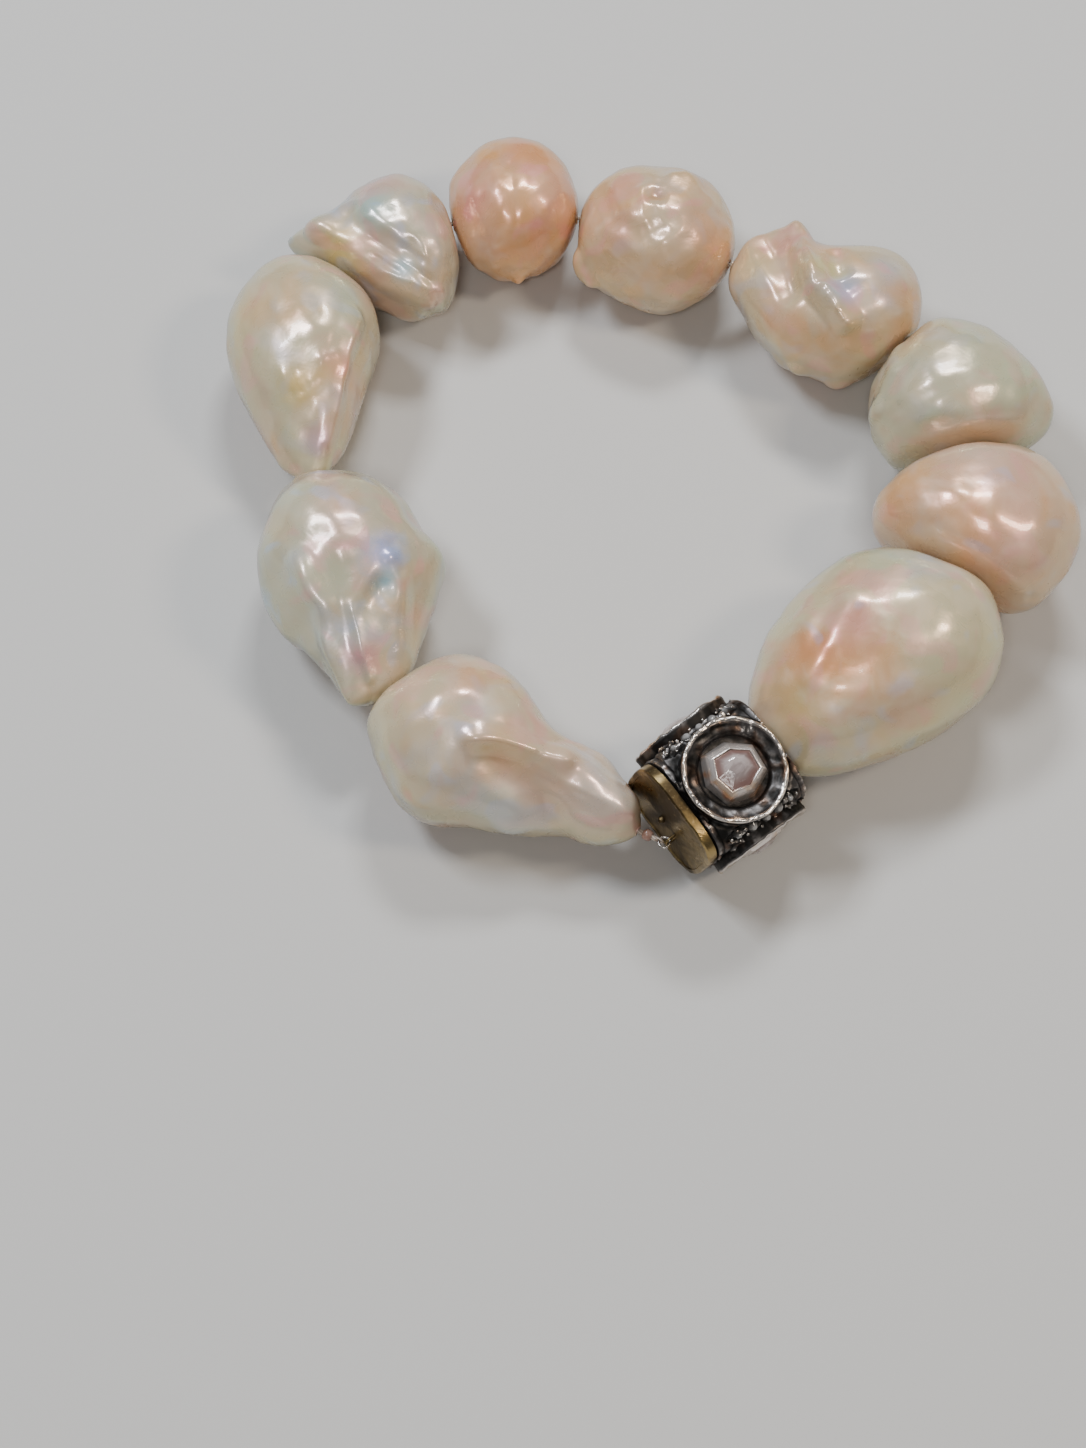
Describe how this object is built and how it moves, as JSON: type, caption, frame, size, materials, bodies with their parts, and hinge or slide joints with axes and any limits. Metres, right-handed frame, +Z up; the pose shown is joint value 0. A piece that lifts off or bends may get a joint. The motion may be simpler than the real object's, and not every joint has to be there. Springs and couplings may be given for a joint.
{
  "type": "pearl bracelet",
  "caption": "Loop bracelet of large baroque pearls strung on a thread, closed by a square silver barrel clasp with round medallions and small rose-cut stones.",
  "frame": {"origin": "middle of the loop on the surface that the bracelet lies on", "axes": "+Z up through the wrist opening, +X from the side of the two long drop pearls towards the largest pearls, the clasp on the -Y side"},
  "size_m": [0.0862, 0.0837, 0.018],
  "materials": {
    "pearl_ivory": "ivory nacre with green and pink overtones",
    "pearl_peach": "peach nacre with pink overtones",
    "pearl_grey": "pale grey green nacre",
    "silk": "twisted silk thread",
    "resin": "hard pinkish brown drop over the knot",
    "silver": "blackened silver with bright worn edges",
    "gold": "dull gold with dark tarnish",
    "stone": "pale grey rose-cut stone"
  },
  "bodies": {
    "root": {"pearl_01": "pearl_ivory", "pearl_02": "pearl_peach", "pearl_03": "pearl_grey", "pearl_04": "pearl_ivory", "pearl_05": "pearl_peach", "pearl_06": "pearl_peach", "pearl_07": "pearl_grey", "pearl_08": "pearl_ivory", "pearl_09": "pearl_grey", "pearl_10": "pearl_ivory", "thread": "silk", "thread_knot": "resin", "jump_ring": "silver", "clasp_body": "silver", "clasp_plate": "gold", "centre_stone_1": "stone", "centre_stone_2": "stone", "centre_stone_3": "stone", "centre_stone_4": "stone"}
  },
  "joints": []
}
